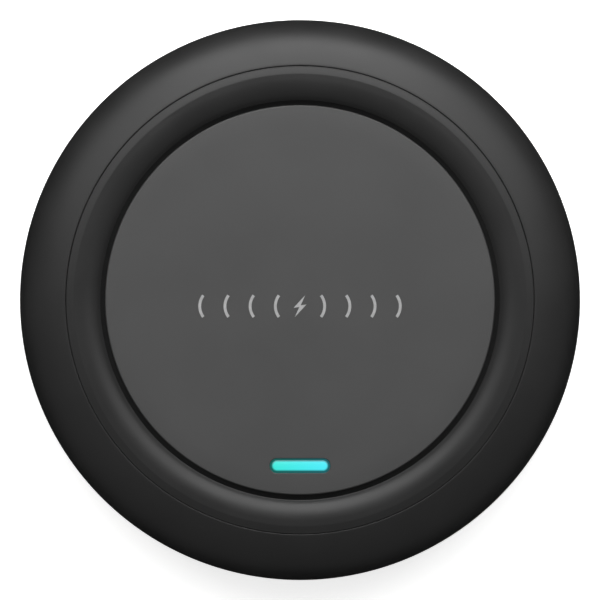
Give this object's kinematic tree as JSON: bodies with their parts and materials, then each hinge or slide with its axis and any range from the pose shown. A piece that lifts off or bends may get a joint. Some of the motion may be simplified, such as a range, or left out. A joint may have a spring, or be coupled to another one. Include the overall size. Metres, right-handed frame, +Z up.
{
  "type": "wireless charging pad",
  "caption": "Round desk pad that charges a phone by induction: recessed flat disc in a soft rounded ring, front status light, power socket at the back.",
  "frame": {"origin": "on the table under the centre of the pad, at the underside of the anti-slip ring", "axes": "+Z up out of the charging disc; +Y to the back, where the power socket is; the status light is at -Y; +X to the right"},
  "size_m": [0.1, 0.1, 0.016],
  "materials": {
    "black_abs": "satin moulded",
    "charcoal_abs": "fine matte",
    "base_abs": "spark-eroded texture",
    "clear_acrylic": "frosted, lit from below",
    "silicone": "matte",
    "zinc_steel": "zinc plated",
    "board_green": "solder mask over glass fibre",
    "nickel_steel": "nickel plated",
    "black_nylon": "moulded",
    "white_nylon": "moulded",
    "grey_ferrite": "sintered",
    "adhesive_film": "thin film",
    "copper_litz": "stranded copper, enamelled",
    "chip_moulding": "moulded epoxy",
    "component_ceramic": "sintered",
    "lamp_body": "moulded, phosphor filled"
  },
  "bodies": {
    "root": {"outer_shell": "black_abs", "inner_bezel": "black_abs", "top_disc": "charcoal_abs", "disc_tape_ring": "adhesive_film", "light_bar": "clear_acrylic", "light_shroud": "black_nylon", "base_cover": "base_abs", "anti_slip_ring": "silicone", "base_screw_1": "zinc_steel", "base_screw_2": "zinc_steel", "base_screw_3": "zinc_steel", "base_screw_4": "zinc_steel", "board_screw_1": "zinc_steel", "board_screw_2": "zinc_steel", "board_screw_3": "zinc_steel", "circuit_board": "board_green", "usb_socket_shell": "nickel_steel", "usb_socket_insert": "black_nylon", "coil_carrier": "white_nylon", "ferrite_sheet": "grey_ferrite", "coil_film": "adhesive_film", "transmitter_coil": "copper_litz", "power_inductor": "component_ceramic", "input_capacitor": "chip_moulding", "controller_chip": "chip_moulding", "resonance_capacitor_1": "component_ceramic", "resonance_capacitor_2": "component_ceramic", "resonance_capacitor_3": "component_ceramic", "resonance_capacitor_4": "component_ceramic", "bridge_transistor_1": "chip_moulding", "bridge_transistor_2": "chip_moulding", "status_led_1": "lamp_body", "status_led_2": "lamp_body", "thermistor": "chip_moulding"}
  },
  "joints": []
}
